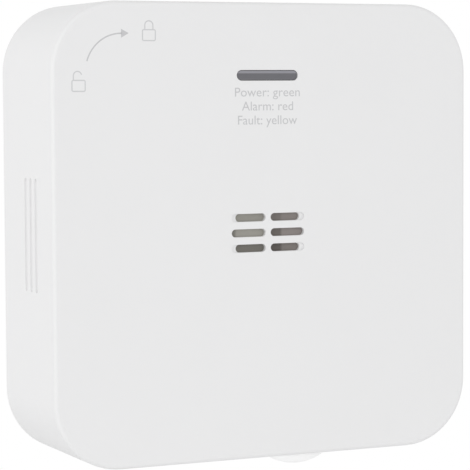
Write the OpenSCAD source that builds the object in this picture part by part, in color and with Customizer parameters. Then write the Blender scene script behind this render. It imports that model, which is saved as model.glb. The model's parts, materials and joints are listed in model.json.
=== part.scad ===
// Battery carbon monoxide detector with a twist-off wall plate.
// +Z is up, +X is to the right seen from the front, and the front faces -Y.
// The origin is the centre of the wall plate's back face, which lies on the wall.

/* [Housing] */
// Side of the square housing
body_side = 100; // [98:1:104]
// Depth of the housing and wall plate together
body_depth = 32; // [32:0.5:34]
// Radius of the housing's four corners
corner_r = 15; // [13:0.5:17]
// Radius round the front edge
edge_r = 0.9; // [0.6:0.1:1.8]
// Wall of the front cover
wall_t = 2; // [1.8:0.1:2.2]

/* [Vents] */
// Length of one vent slot
vent_l = 8.2; // [7.6:0.1:8.4]
// Height of one vent slot
vent_h = 1.75; // [1.4:0.05:2]
// Distance from one row of slots to the next
vent_pitch = 3.35; // [3:0.05:3.6]
// Bar between the two columns of slots
vent_bar = 1.2; // [1:0.1:1.6]
// Height of the middle row of slots above the middle of the front
vent_z = -0.2; // [-0.5:0.1:0.5]
// How much shorter the openings are in the upper and lower rows
vent_short = 1.05; // [0:0.05:1.5]
// Wall left round the vents
vent_skin = 1; // [0.8:0.1:1.2]

/* [Indicator] */
// Length of the indicator window
led_l = 14.8; // [13:0.2:16]
// Height of the indicator window
led_h = 2.3; // [2:0.1:2.6]
// Height of the window's centre above the middle of the front
led_z = 34.15; // [32:0.05:35]
// Distance from one lamp to the next
led_pitch = 5; // [4.8:0.1:5.2]

/* [Side grips] */
// Length of one grip groove
grip_l = 24.6; // [20:0.2:28]
// Distance from one groove to the next
grip_pitch = 3.25; // [3:0.05:3.5]
// Depth of the first groove behind the front face
grip_from = 10.6; // [9:0.1:12]
// Depth of a groove into the wall
grip_deep = 0.65; // [0.5:0.05:1]

/* [Test button] */
// Diameter of the button
button_d = 14; // [13:0.5:15]
// Distance of the button to the right of the middle
button_x = 12.2; // [10:0.2:14]
// Distance of the button behind the front face
button_from = 13.2; // [12.8:0.1:13.4]
// How far the button stands out of the housing
button_out = 4; // [3:0.1:4.5]
// Travel of the button
button_travel = 0.8; // [0.5:0.1:0.9]

/* [Wall plate] */
// Diameter of the wall plate
plate_d = 86; // [85:0.5:86.5]
// Thickness of the wall plate
plate_t = 2.5; // [2.2:0.1:2.6]
// Distance between the two screw slots
slot_spacing = 60; // [56:1:62]
// Length of a screw slot
slot_l = 8; // [7:0.5:9]
// Width of a screw slot
slot_w = 4.4; // [4:0.1:4.6]
// Turn from locked to unlocked
lock_turn = 20; // [16:1:22]

/* [Cells] */
// Diameter of an AA cell
cell_d = 14.5; // [14:0.1:14.5]
// Length of an AA cell with its nub
cell_l = 50.5; // [50:0.1:50.5]

/* [Hidden] */
$fn = 96;

// Depths, counted from the wall at y = 0 towards the front.
y_front = -body_depth;
y_inner = y_front + wall_t;
y_rim = -0.5;
y_back = -1;
back_t = 2;
recess_gap = 1;
recess_d = plate_d + 2 * recess_gap;
recess_wall = 1.5;
y_floor = -plate_t - 3;
y_floor_in = y_floor - back_t;
cover_gap = 0.2;
inner_side = body_side - 2 * wall_t;
inner_r = corner_r - wall_t;
cut = 0.1;

// Bayonet hooks on the wall plate.
hook_angles = [90, 210, 330];
hook_half = 6;
hook_out_r = 41;
hook_in_r = 39;
toe_in_r = 36.5;
toe_t = 1.5;
toe_gap = 0.3;
hook_gap = 0.3;
hook_slack = 0.6;
window_more = 1;
y_toe_rear = y_floor_in - toe_gap;
y_toe_front = y_toe_rear - toe_t;
rib_t = 1.2;
rib_h = 1.1;
rib_ring_r = 22;

// Battery bay in the rear cover.
cell_pitch = 15;
cell_room = 0.25;
cell_y = y_floor - cell_room - cell_d / 2;
nub_l = 1;
nub_d = 5.5;
contact_t = 0.4;
contact_side = 11;
contact_y = -13;
bay_wall = 1.2;
bay_half_x = 28.3;
bay_half_z = 15.1;
bay_rib_t = 1.2;
bay_rib_deep = 3;
bay_rib_short = 16;
y_bay = cell_y - cell_d / 2 - cell_room;
y_bay_out = y_bay - bay_wall;
contact_touch = 0.05;
cell_end = bay_half_x - contact_t - contact_touch;
tab_w = 3;
tab_out = 0.6;
tab_room = 0.6;
spring_touch = 0.02;
spring_free = 0.1;
spring_wire = 0.8;
spring_r = [4.4, 2.4];
spring_turns = 3.5;
spring_steps = 14;
spring_sides = 8;

// Circuit board.
board_t = 1.6;
board_half = 42;
board_cut = 10;
board_gap = 0.2;
y_board_rear = y_bay_out - board_gap;
y_board = y_board_rear - board_t;
post_x = 35;
post_z = 28;
post_d = 5;
board_screw_d = 2;
board_screw_deep = 5;
board_screw_head_d = 4;
board_screw_head_t = 1.4;

// Corner bosses for the housing screws.
boss_c = body_side / 2 - 10.5;
boss_d = 6.5;
boss_web_t = 1.6;
boss_web_short = 4;
screw_d = 2.4;
screw_l = 14;
screw_bore = 14;
screw_room = 0.6;
screw_head_d = 5;
screw_head_t = 1.8;
sleeve_d = 8;
y_sleeve = -8;
y_screw_seat = y_sleeve + 2;

// Sensor, its collar and gasket.
collar_r = 9;
collar_t = 1.2;
collar_h = 3.2;
sensor_d = 14;
sensor_h = 5;
sensor_rim = 0.8;
sensor_step = 0.4;
sensor_port_d = 3;
y_sensor = y_board - 0.2;
gasket_gap = 0.1;
filter_t = 0.4;
y_filter = y_front + vent_skin;
pin_d = 1;
pin_r = 4.5;
pin_room = 0.3;
pin_places = [for (a = [90, 210, 330]) [pin_r * cos(a), pin_r * sin(a)]];

// Sounder.
sounder_x = -18;
sounder_z = -25;
sounder_d = 26;
sounder_h = 5.6;
sounder_port_d = 4;
sounder_skin = 1;
piezo_d = 23.8;
piezo_face_d = 15;
piezo_t = 0.25;
piezo_from = 2.5;

// Test button and its switch.
button_y = y_front + button_from;
button_gap = 0.3;
flange_w = 1.3;
flange_t = 1.2;
z_inner_bottom = -inner_side / 2;
z_flange = z_inner_bottom + 0.2;
z_button = -body_side / 2 - button_out;
dome_h = 2.4;
switch_w = 6.2;
switch_z = -board_half;
switch_h = 3.5;
plunger_d = 3.4;
plunger_out = 3;
plunger_in = 0.5;
plunger_gap = 0.05;
stem_d = 5;

// Lamps.
lamp_l = 3.5;
lamp_h = 2.8;
lamp_t = 1.4;
lens_sunk = 0.12;
lens_gap = 0.08;
window_flange = 0.8;
flange_rim = 1.2;
light_box_rim = 1;
light_box_h = 5.8;
light_cell_h = 4.2;
light_wall = 0.8;

// Chips, each soldered to the front of the board.
mcu_x = 22;
mcu_z = 17;
mcu_side = 7;
mcu_t = 1.4;
mcu_lead_pitch = 0.8;
mcu_lead_w = 0.35;
amp_x = -18;
amp_z = 15;
amp_w = 4.9;
amp_h = 3.9;
amp_t = 1.5;
amp_lead_pitch = 1.27;
amp_lead_w = 0.42;
chip_lift = 0.1;
lead_t = 0.18;
lead_rise = 0.8;
lead_foot = 0.7;
crystal_x = 33;
crystal_z = 8;
crystal_l = 11;
crystal_w = 4.6;
crystal_h = 3.5;

// Rows of small parts: first part's x, the row's z, how many, and their pitch.
resistor = [0.85, 0.45, 1.6];
resistor_rows = [[12, 25, 8, 2.4], [-27, 24, 6, 2.4], [6, -17, 5, 2.4], [22, -20, 5, 2.4]];
capacitor = [1.3, 0.9, 2];
capacitor_rows = [[13, 29, 5, 3], [-28, 20, 3, 3], [22, -25, 4, 3], [-30, 8, 3, 3]];

// Tall parts on the rear of the board, beside the battery bay.
can_d = 6.3;
can_h = 11;
can_x = [20, 28.5];
can_z = -26;
coil_x = -22;
coil_z = -27;
coil_d = 9;
coil_core_d = 7;
coil_rim = 1.5;
coil_h = 9.5;

// Blank rating label in the recess.
label_w = 32;
label_h = 9;
label_t = 0.15;
label_z = -24.5;

// ---- shared shapes ----

// A flat outline in X and Z, made solid from depth y0 back to depth y1.
module slab(y0, y1) {
  translate([0, y1, 0])
    rotate([90, 0, 0])
      linear_extrude(height = y1 - y0)
        children();
}

// A round bar along Y, centred on x and z.
module bar_y(d, y0, y1, x = 0, z = 0) {
  translate([x, y1, z])
    rotate([90, 0, 0])
      cylinder(d = d, h = y1 - y0);
}

// A box between two depths, centred on x and z.
module box_y(w, h, y0, y1, x = 0, z = 0) {
  translate([x - w / 2, y0, z - h / 2])
    cube([w, y1 - y0, h]);
}

// Part of a ring about the Y axis, from angle a0 to a1 seen from the front.
module ring_part(r0, r1, y0, y1, a0, a1) {
  rotate([90, 0, 0])
    rotate([0, 0, a0])
      rotate_extrude(angle = a1 - a0)
        translate([r0, -y1])
          square([r1 - r0, y1 - y0]);
}

// A tube along Y between two radii.
module ring_wall(r0, r1, y0, y1) {
  difference() {
    bar_y(2 * r1, y0, y1);
    bar_y(2 * r0, y0 - cut, y1 + cut);
  }
}

// A cross cut into a screw head whose face is at depth y.
module cross_recess(l, y, deep) {
  arm_w = 0.5;
  box_y(l, arm_w, y - deep, y + cut);
  box_y(arm_w, l, y - deep, y + cut);
}

module rounded_square(side, r) {
  square([side, side - 2 * r], center = true);
  square([side - 2 * r, side], center = true);
  for (sx = [-1, 1], sz = [-1, 1])
    translate([sx * (side / 2 - r), sz * (side / 2 - r)])
      circle(r = r);
}

module obround(l, h) {
  square([l - h, h], center = true);
  for (s = [-1, 1])
    translate([s * (l - h) / 2, 0])
      circle(d = h);
}

// Places children at four corners, cx and cz from the middle.
module at_corners(cx, cz) {
  for (sx = [-1, 1], sz = [-1, 1])
    translate([sx * cx, 0, sz * cz])
      children();
}

// ---- front cover ----

module quarter_disc(r) {
  intersection() {
    circle(r = r);
    square(r);
  }
}

// The rounded front edge: a quarter round along four sides and four corners.
module front_edge() {
  run = body_side - 2 * corner_r;
  translate([0, y_front + edge_r, 0])
    rotate([90, 0, 0])
      for (a = [0:90:270])
        rotate([0, 0, a]) {
          translate([body_side / 2 - edge_r, run / 2, 0])
            rotate([90, 0, 0])
              linear_extrude(height = run)
                quarter_disc(edge_r);
          translate([run / 2, run / 2, 0])
            rotate_extrude(angle = 90)
              translate([corner_r - edge_r, 0])
                quarter_disc(edge_r);
        }
}

module housing_outside() {
  slab(y_front + edge_r, y_rim)
    rounded_square(body_side, corner_r);
  slab(y_front, y_front + edge_r)
    rounded_square(body_side - 2 * edge_r, corner_r - edge_r);
  front_edge();
}

// Three upright half-round grooves on one side wall.
module grip_grooves(side) {
  groove_r = 0.72;
  groove_x = side * (body_side / 2 + groove_r - grip_deep);
  half = grip_l / 2 - groove_r;
  for (i = [0:2])
    translate([groove_x, y_front + grip_from + i * grip_pitch, 0]) {
      translate([0, 0, -half])
        cylinder(r = groove_r, h = 2 * half);
      for (s = [-1, 1])
        translate([0, 0, s * half])
          sphere(r = groove_r);
    }
}

// Slots into the collar's bore, which leaves a thinner round patch of the front.
// In the upper and lower rows the outer ends are shallow and blind.
module vent_slots() {
  slot_x = (vent_bar + vent_l) / 2;
  blind_deep = 0.35;
  bar_y(2 * collar_r, y_filter, y_inner + collar_h + cut);
  for (row = [-1:1], s = [-1, 1]) {
    short = abs(row) * vent_short;
    translate([s * slot_x, 0, vent_z + row * vent_pitch])
      slab(y_front - cut, y_front + blind_deep)
        obround(vent_l, vent_h);
    translate([s * (slot_x - short / 2), 0, vent_z + row * vent_pitch])
      slab(y_front + blind_deep - cut, y_filter + cut)
        obround(vent_l - short, vent_h);
  }
}

// A boss for one housing screw, tied to the corner by a web.
module cover_boss(sx, sz) {
  from_corner = boss_c - body_side / 2 + corner_r;
  into_wall = 0.5;
  web_l = inner_r + into_wall - norm([from_corner, from_corner]);
  bar_y(boss_d, y_inner - cut, y_sleeve, sx * boss_c, sz * boss_c);
  translate([sx * boss_c, 0, sz * boss_c])
    rotate([0, -atan2(sz, sx), 0])
      translate([0, y_inner - cut, -boss_web_t / 2])
        cube([web_l, y_sleeve - boss_web_short - y_inner, boss_web_t]);
}

module front_cover() {
  color("white")
    difference() {
      union() {
        difference() {
          housing_outside();
          slab(y_inner, y_rim + cut)
            rounded_square(inner_side, inner_r);
        }
        bar_y(2 * (collar_r + collar_t), y_inner - cut, y_inner + collar_h);
        for (sx = [-1, 1], sz = [-1, 1]) {
          cover_boss(sx, sz);
          bar_y(post_d, y_inner - cut, y_board, sx * post_x, sz * post_z);
        }
      }
      vent_slots();
      translate([0, 0, led_z])
        slab(y_front - cut, y_inner + cut)
          obround(led_l, led_h);
      for (s = [-1, 1])
        grip_grooves(s);
      translate([button_x, button_y, -body_side / 2 - cut])
        cylinder(d = button_d + 2 * button_gap, h = wall_t + 2 * cut);
      at_corners(boss_c, boss_c)
        bar_y(screw_d, y_sleeve - screw_bore, y_sleeve + cut);
      at_corners(post_x, post_z)
        bar_y(board_screw_d, y_board - board_screw_deep, y_board + cut);
    }
}

// ---- rear cover ----

// The slot that one hook turns in: narrow where it locks, wide where it enters.
module hook_slot(a) {
  ring_part(hook_in_r - hook_gap, hook_out_r + hook_gap, y_floor_in - cut, y_floor + cut,
            a - lock_turn - hook_half - hook_slack, a + hook_half + hook_slack);
  ring_part(toe_in_r - hook_gap, hook_out_r + hook_gap, y_floor_in - cut, y_floor + cut,
            a - lock_turn - hook_half - hook_slack, a - lock_turn + hook_half + hook_slack);
}

module battery_bay_inside() {
  box_y(2 * bay_half_x, 2 * bay_half_z, y_bay, y_floor + cut);
}

module rear_cover() {
  color("whitesmoke")
    difference() {
      union() {
        difference() {
          union() {
            slab(y_back - back_t, y_back)
              rounded_square(inner_side - 2 * cover_gap, inner_r - cover_gap);
            bar_y(recess_d + 2 * recess_wall, y_floor_in, y_back);
            at_corners(boss_c, boss_c)
              bar_y(sleeve_d, y_sleeve, y_back);
            box_y(2 * (bay_half_x + bay_wall), 2 * (bay_half_z + bay_wall), y_bay_out, y_floor);
          }
          bar_y(recess_d, y_floor, cut);
          battery_bay_inside();
        }
        box_y(2 * bay_half_x - bay_rib_short, bay_rib_t, y_bay - cut, y_bay + bay_rib_deep);
      }
      for (a = hook_angles)
        hook_slot(a);
      at_corners(boss_c, boss_c) {
        bar_y(screw_d + screw_room, y_sleeve - cut, y_back + cut);
        bar_y(screw_head_d + screw_room, y_screw_seat, y_back + cut);
      }
      for (s = [-1, 1])
        tab_hole(s * cell_pitch / 2);
    }
}

// Clearance for one solder tab.
module tab_hole(z) {
  box_y(contact_t + tab_room, tab_w + tab_room, y_board - cut, y_bay + cut, bay_half_x - contact_t / 2, z);
}

// ---- wall plate ----

module hook(a) {
  ring_part(hook_in_r, hook_out_r, y_toe_front, -plate_t + cut, a - hook_half, a + hook_half);
  ring_part(toe_in_r, hook_in_r + cut, y_toe_front, y_toe_rear, a - hook_half, a + hook_half);
}

module wall_plate() {
  y_rib = -plate_t - rib_h;
  color("gainsboro")
    difference() {
      union() {
        bar_y(plate_d, -plate_t, 0);
        ring_wall(rib_ring_r, rib_ring_r + rib_t, y_rib, -plate_t + cut);
        ring_wall(plate_d / 2 - rib_t, plate_d / 2, y_rib, -plate_t + cut);
        for (a = hook_angles) {
          hook(a);
          rotate([0, -(a + 60), 0])
            translate([rib_ring_r + rib_t / 2, y_rib, -rib_t / 2])
              cube([plate_d / 2 - rib_ring_r - rib_t, rib_h + cut, rib_t]);
        }
      }
      for (s = [-1, 1])
        translate([s * slot_spacing / 2, 0, 0])
          slab(-plate_t - cut, cut)
            obround(slot_l, slot_w);
      for (a = hook_angles)
        ring_part(toe_in_r - hook_gap, hook_in_r - hook_gap, -plate_t - cut, cut,
                  a - hook_half - window_more, a + hook_half + window_more);
    }
}

// ---- indicator ----

module led_window() {
  color("dimgray", 0.8)
    translate([0, 0, led_z]) {
      slab(y_front + lens_sunk, y_inner)
        obround(led_l - 2 * lens_gap, led_h - 2 * lens_gap);
      slab(y_inner, y_inner + window_flange)
        obround(led_l + 2 * flange_rim, led_h + 2 * flange_rim);
    }
}

// Keeps the three lamps' light apart behind the window.
module led_light_box() {
  color("white")
    difference() {
      box_y(3 * led_pitch + 2 * light_box_rim, light_box_h, y_inner + window_flange, y_board, 0, led_z);
      for (i = [-1:1])
        box_y(led_pitch - light_wall, light_cell_h, y_inner + window_flange - cut, y_board + cut,
              i * led_pitch, led_z);
    }
}

module lamp(i) {
  box_y(lamp_l, lamp_h, y_board - lamp_t, y_board, i * led_pitch, led_z);
}

module led_green() {
  color("limegreen")
    lamp(-1);
}

module led_red() {
  color("red")
    lamp(0);
}

module led_yellow() {
  color("gold")
    lamp(1);
}

// ---- test button ----

// The button's outline turned about its own axis: dome, skirt, flange and stem.
module test_button() {
  r = button_d / 2;
  dome_r = (r * r + dome_h * dome_h) / (2 * dome_h);
  z_dome = z_button + dome_h;
  z_stem = switch_z - plunger_out;
  color("white")
    translate([button_x, button_y, 0]) {
      intersection() {
        translate([0, 0, z_button + dome_r])
          sphere(r = dome_r);
        translate([0, 0, z_button])
          cylinder(r = r, h = dome_h);
      }
      translate([0, 0, z_dome])
        cylinder(r = r, h = z_flange - z_dome);
      translate([0, 0, z_flange])
        cylinder(r = r + flange_w, h = flange_t);
      translate([0, 0, z_flange + flange_t])
        cylinder(d = stem_d, h = z_stem - z_flange - flange_t);
    }
}

module switch_plunger() {
  color("black")
    translate([button_x, button_y, switch_z - plunger_out])
      cylinder(d = plunger_d, h = plunger_out + plunger_in);
}

module tact_switch() {
  color("darkslategray")
    difference() {
      translate([button_x - switch_w / 2, y_board_rear, switch_z])
        cube([switch_w, 2 * (button_y - y_board_rear), switch_h]);
      translate([button_x, button_y, switch_z - cut])
        cylinder(d = plunger_d + 2 * plunger_gap, h = plunger_in + button_travel + 2 * cut);
    }
}

// ---- circuit board ----

module board_outline() {
  a = board_half;
  b = board_half - board_cut;
  polygon([[a, b], [b, a], [-b, a], [-a, b], [-a, -b], [-b, -a], [b, -a], [a, -b]]);
}

module main_board() {
  color("darkgreen")
    difference() {
      slab(y_board, y_board_rear)
        board_outline();
      at_corners(post_x, post_z)
        bar_y(board_screw_d + 2 * board_gap, y_board - cut, y_board_rear + cut);
      for (s = [-1, 1])
        tab_hole(s * cell_pitch / 2);
      for (p = pin_places)
        bar_y(pin_d + pin_room, y_board - cut, y_board_rear + cut, p[0], p[1]);
    }
}

module microcontroller() {
  color("black")
    box_y(mcu_side, mcu_side, y_board - mcu_t - chip_lift, y_board - chip_lift, mcu_x, mcu_z);
}

module sensor_amplifier() {
  color("black")
    box_y(amp_w, amp_h, y_board - amp_t - chip_lift, y_board - chip_lift, amp_x, amp_z);
}

// One gull-wing lead: out of the body, down, and flat on the board.
module chip_lead(w) {
  out = 0.5;
  translate([-w / 2, 0, 0]) {
    translate([0, -lead_rise - lead_t, 0])
      cube([w, lead_t, out]);
    translate([0, -lead_rise, out - lead_t])
      cube([w, lead_rise, lead_t]);
    translate([0, -lead_t, out - lead_t])
      cube([w, lead_t, lead_foot]);
  }
}

module chip_leads() {
  color("silver") {
    for (a = [0:90:270], i = [-3.5:1:3.5])
      translate([mcu_x, y_board, mcu_z])
        rotate([0, a, 0])
          translate([i * mcu_lead_pitch, 0, mcu_side / 2])
            chip_lead(mcu_lead_w);
    for (a = [0, 180], i = [-1.5:1:1.5])
      translate([amp_x, y_board, amp_z])
        rotate([0, a, 0])
          translate([i * amp_lead_pitch, 0, amp_h / 2])
            chip_lead(amp_lead_w);
  }
}

module crystal() {
  color("lightgray")
    translate([crystal_x, 0, crystal_z])
      slab(y_board - crystal_h, y_board)
        rotate(90)
          obround(crystal_l, crystal_w);
}

// Small parts stand in straight rows on the front of the board.
module chip_rows(rows, size) {
  for (row = rows, i = [0:row[2] - 1])
    box_y(size[0], size[2], y_board - size[1], y_board, row[0] + i * row[3], row[1]);
}

module chip_resistors() {
  color("dimgray")
    chip_rows(resistor_rows, resistor);
}

module chip_capacitors() {
  color("tan")
    chip_rows(capacitor_rows, capacitor);
}

module electrolytic_capacitors() {
  color("midnightblue")
    for (x = can_x)
      bar_y(can_d, y_board_rear, y_board_rear + can_h, x, can_z);
}

// Drum coil that lifts the sounder's drive voltage.
module sounder_coil() {
  color("saddlebrown") {
    bar_y(coil_d, y_board_rear, y_board_rear + coil_rim, coil_x, coil_z);
    bar_y(coil_core_d, y_board_rear + coil_rim, y_board_rear + coil_h - coil_rim, coil_x, coil_z);
    bar_y(coil_d, y_board_rear + coil_h - coil_rim, y_board_rear + coil_h, coil_x, coil_z);
  }
}

module board_screws() {
  y_head = y_board_rear + board_screw_head_t;
  color("silver")
    at_corners(post_x, post_z) {
      bar_y(board_screw_d, y_board - board_screw_deep, y_board_rear);
      difference() {
        bar_y(board_screw_head_d, y_board_rear, y_head);
        cross_recess(2.2, y_head, 0.8);
      }
    }
}

// ---- sensor and sounder ----

module co_sensor() {
  color("rosybrown")
    difference() {
      union() {
        bar_y(sensor_d, y_sensor - sensor_h + sensor_step, y_sensor);
        bar_y(sensor_d - 2 * sensor_rim, y_sensor - sensor_h, y_sensor - sensor_h + sensor_step);
      }
      bar_y(sensor_port_d, y_sensor - sensor_h - cut, y_sensor - sensor_h + 1);
    }
}

module sensor_pins() {
  color("gold")
    for (p = pin_places)
      bar_y(pin_d, y_sensor, y_board_rear - 0.05, p[0], p[1]);
}

module sensor_gasket() {
  color("darkolivegreen")
    ring_wall(sensor_d / 2 + gasket_gap, collar_r - gasket_gap, y_filter + filter_t, y_inner + collar_h);
}

// Gauze that keeps dust out of the sensor, held in the collar by the gasket.
module dust_filter() {
  color("gray")
    bar_y(2 * (collar_r - gasket_gap), y_filter, y_filter + filter_t);
}

module sounder_cup() {
  y_cup = y_board - sounder_h;
  color("black")
    translate([sounder_x, 0, sounder_z])
      difference() {
        bar_y(sounder_d, y_cup, y_board);
        bar_y(sounder_d - 2 * sounder_skin, y_cup + sounder_skin, y_board - sounder_skin);
        bar_y(sounder_port_d, y_cup - cut, y_cup + sounder_skin + cut);
      }
}

module piezo_disc() {
  y_disc = y_board - piezo_from;
  color("goldenrod")
    translate([sounder_x, 0, sounder_z]) {
      bar_y(piezo_d, y_disc, y_disc + piezo_t);
      bar_y(piezo_face_d, y_disc - piezo_t, y_disc);
    }
}

// ---- cells and contacts ----

// An AA cell along X whose nub points to +X when side is 1.
module aa_cell(side) {
  bead = 0.4;
  translate([0, cell_y, side * cell_pitch / 2])
    rotate([0, side * 90, 0])
      translate([0, 0, cell_end - cell_l]) {
        cylinder(d = cell_d, h = cell_l - nub_l - bead);
        cylinder(d = cell_d - 2 * bead, h = cell_l - nub_l);
        cylinder(d = nub_d, h = cell_l);
      }
}

module aa_cell_upper() {
  color("darkorange")
    aa_cell(1);
}

module aa_cell_lower() {
  color("darkorange")
    aa_cell(-1);
}

// The single plates at the right-hand end reach the board through solder tabs.
module battery_contacts() {
  x_in = bay_half_x - contact_t;
  color("silver") {
    for (s = [-1, 1]) {
      box_y(contact_t, contact_side, contact_y - contact_side / 2, contact_y + contact_side / 2,
            bay_half_x - contact_t / 2, s * cell_pitch / 2);
      box_y(contact_t, tab_w, y_board - tab_out, contact_y, bay_half_x - contact_t / 2, s * cell_pitch / 2);
    }
    box_y(contact_t, cell_pitch + contact_side, contact_y - contact_side / 2, contact_y + contact_side / 2,
          -x_in - contact_t / 2, 0);
  }
}

// One ring of points round the spring's wire after a share of its length, from 0 to 1.
function spring_ring(share, length) =
  let (turn = 360 * spring_turns * share,
       r = spring_r[0] + (spring_r[1] - spring_r[0]) * share,
       along = spring_wire / 2 + (length - spring_wire) * share)
  [for (k = [0:spring_sides - 1])
    let (a = 360 * k / spring_sides,
         out = r + spring_wire / 2 * cos(a))
    [along + spring_wire / 2 * sin(a), out * cos(turn), out * sin(turn)]];

// A tapering coil along +X, swept from rings of points.
module taper_spring(length) {
  n = ceil(spring_turns * spring_steps);
  m = spring_sides;
  points = [for (i = [0:n]) each spring_ring(i / n, length)];
  sides = [for (i = [0:n - 1], k = [0:m - 1])
    let (a = i * m + k, b = i * m + (k + 1) % m)
    [a, b, b + m, a + m]];
  near = [for (k = [m - 1:-1:0]) k];
  far = [for (k = [0:m - 1]) n * m + k];
  polyhedron(points = points, faces = concat([near], sides, [far]), convexity = 6);
}

module battery_springs() {
  x_in = bay_half_x - contact_t;
  length = x_in - (cell_l - cell_end) - spring_free;
  color("silver")
    for (s = [-1, 1])
      translate([s * (x_in - spring_touch), cell_y, -s * cell_pitch / 2])
        mirror([s > 0 ? 1 : 0, 0, 0])
          taper_spring(length);
}

// ---- fasteners and label ----

module housing_screws() {
  y_head = y_screw_seat + screw_head_t;
  color("silver")
    at_corners(boss_c, boss_c) {
      bar_y(screw_d, y_screw_seat - screw_l, y_screw_seat);
      difference() {
        bar_y(screw_head_d, y_screw_seat, y_head);
        cross_recess(2.8, y_head, 1);
      }
    }
}

module rating_label() {
  color("gainsboro")
    box_y(label_w, label_h, y_floor, y_floor + label_t, 0, label_z);
}

wall_plate();
front_cover();
rear_cover();
led_window();
led_light_box();
led_green();
led_red();
led_yellow();
test_button();
switch_plunger();
tact_switch();
main_board();
microcontroller();
sensor_amplifier();
chip_leads();
crystal();
chip_resistors();
chip_capacitors();
electrolytic_capacitors();
sounder_coil();
co_sensor();
sensor_pins();
sensor_gasket();
dust_filter();
sounder_cup();
piezo_disc();
aa_cell_upper();
aa_cell_lower();
battery_springs();
battery_contacts();
housing_screws();
board_screws();
rating_label();
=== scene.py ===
import json
import math

import bmesh
import bpy
import numpy as np
from bpy.props import FloatProperty, FloatVectorProperty, PointerProperty
from mathutils import Matrix, Vector


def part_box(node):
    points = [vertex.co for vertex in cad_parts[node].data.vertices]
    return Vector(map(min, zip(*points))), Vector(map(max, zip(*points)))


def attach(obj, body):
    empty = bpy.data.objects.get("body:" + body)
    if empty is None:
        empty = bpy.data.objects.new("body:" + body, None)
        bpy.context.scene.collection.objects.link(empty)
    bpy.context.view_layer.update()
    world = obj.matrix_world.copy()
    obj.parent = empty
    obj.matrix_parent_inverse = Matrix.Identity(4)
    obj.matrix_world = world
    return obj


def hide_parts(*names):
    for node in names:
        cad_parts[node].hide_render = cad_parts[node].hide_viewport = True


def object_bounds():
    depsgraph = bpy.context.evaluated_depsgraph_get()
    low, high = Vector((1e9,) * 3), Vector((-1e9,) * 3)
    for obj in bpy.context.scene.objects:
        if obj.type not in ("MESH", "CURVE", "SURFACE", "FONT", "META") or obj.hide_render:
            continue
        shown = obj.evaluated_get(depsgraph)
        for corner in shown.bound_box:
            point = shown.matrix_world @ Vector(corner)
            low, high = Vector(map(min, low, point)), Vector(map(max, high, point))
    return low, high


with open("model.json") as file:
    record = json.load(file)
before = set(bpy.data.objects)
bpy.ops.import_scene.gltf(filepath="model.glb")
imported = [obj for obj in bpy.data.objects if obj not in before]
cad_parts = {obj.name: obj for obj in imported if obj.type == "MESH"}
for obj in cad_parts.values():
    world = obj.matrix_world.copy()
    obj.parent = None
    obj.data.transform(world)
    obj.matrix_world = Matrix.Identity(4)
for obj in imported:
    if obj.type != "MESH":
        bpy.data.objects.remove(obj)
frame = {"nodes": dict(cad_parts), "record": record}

bl_info = {
    "name": "Carbon monoxide detector",
    "version": (1, 0, 0),
    "blender": (4, 5, 0),
    "location": "3D View > Sidebar > Detector",
    "description": "Builds the visible pieces of a wall-mounted carbon monoxide detector round its frame",
    "category": "Add Mesh",
}

MM = 0.001
CAD_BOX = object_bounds()
SLOTS = {part["node"]: part["material_slot"] for part in frame["record"]["subparts"]}
BODY_OF = {node: body for body, nodes in frame["record"]["behaviour"]["bodies"].items() for node in nodes}
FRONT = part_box("front_cover")[0].y
BUTTON_LOW, BUTTON_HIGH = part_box("test_button")
WINDOW_LOW, WINDOW_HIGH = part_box("led_window")
WINDOW_MIDDLE = (WINDOW_LOW.z + WINDOW_HIGH.z) / 2


# ---- surfaces ----

def grid_faces(rows, columns, wrap_rows=False, wrap_columns=False):
    """Quads of a grid of points, as one array: each takes a point, its right, upper right and upper neighbour."""
    r = np.arange(rows if wrap_rows else rows - 1)
    c = np.arange(columns if wrap_columns else columns - 1)
    r, c = np.meshgrid(r, c, indexing="ij")
    up, right = (r + 1) % rows, (c + 1) % columns
    corners = [r * columns + c, r * columns + right, up * columns + right, up * columns + c]
    return np.stack(corners, axis=-1).reshape(-1, 4)


def make_piece(name, points, faces, weld=2e-6):
    """A smooth mesh object from points and quads, its doubles merged and its faces turned outwards."""
    mesh = bpy.data.meshes.new(name)
    mesh.from_pydata(np.asarray(points, float).reshape(-1, 3).tolist(), [], np.asarray(faces).tolist())
    work = bmesh.new()
    work.from_mesh(mesh)
    bmesh.ops.remove_doubles(work, verts=work.verts, dist=weld)
    bmesh.ops.dissolve_degenerate(work, edges=work.edges, dist=weld)
    bmesh.ops.recalc_face_normals(work, faces=work.faces)
    work.to_mesh(mesh)
    work.free()
    mesh.shade_smooth()
    piece = bpy.data.objects.new(name, mesh)
    bpy.context.scene.collection.objects.link(piece)
    return piece


def join_shapes(shapes):
    """Several (points, faces) pairs as one pair, each shape's faces counted on from the one before."""
    points, faces, count = [], [], 0
    for shape_points, shape_faces in shapes:
        flat = np.asarray(shape_points, float).reshape(-1, 3)
        points.append(flat)
        faces.append(np.asarray(shape_faces) + count)
        count += len(flat)
    return np.vstack(points), np.vstack(faces)


def lathe(profile, centre, axis, steps=96):
    """Turns (radius, distance along the axis) points about an axis through centre.
    Each point goes to centre + distance * axis + radius * (cos t * side + sin t * other side)."""
    profile = np.asarray(profile, float)
    axis = Vector(axis).normalized()
    side = axis.orthogonal().normalized()
    other = axis.cross(side)
    t = np.linspace(0, 2 * math.pi, steps, endpoint=False)
    ring = np.outer(np.cos(t), side) + np.outer(np.sin(t), other)
    points = profile[:, 0, None, None] * ring[None] + profile[:, 1, None, None] * np.array(axis)
    return points + np.array(centre), grid_faces(len(profile), steps, wrap_columns=True)


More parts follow.
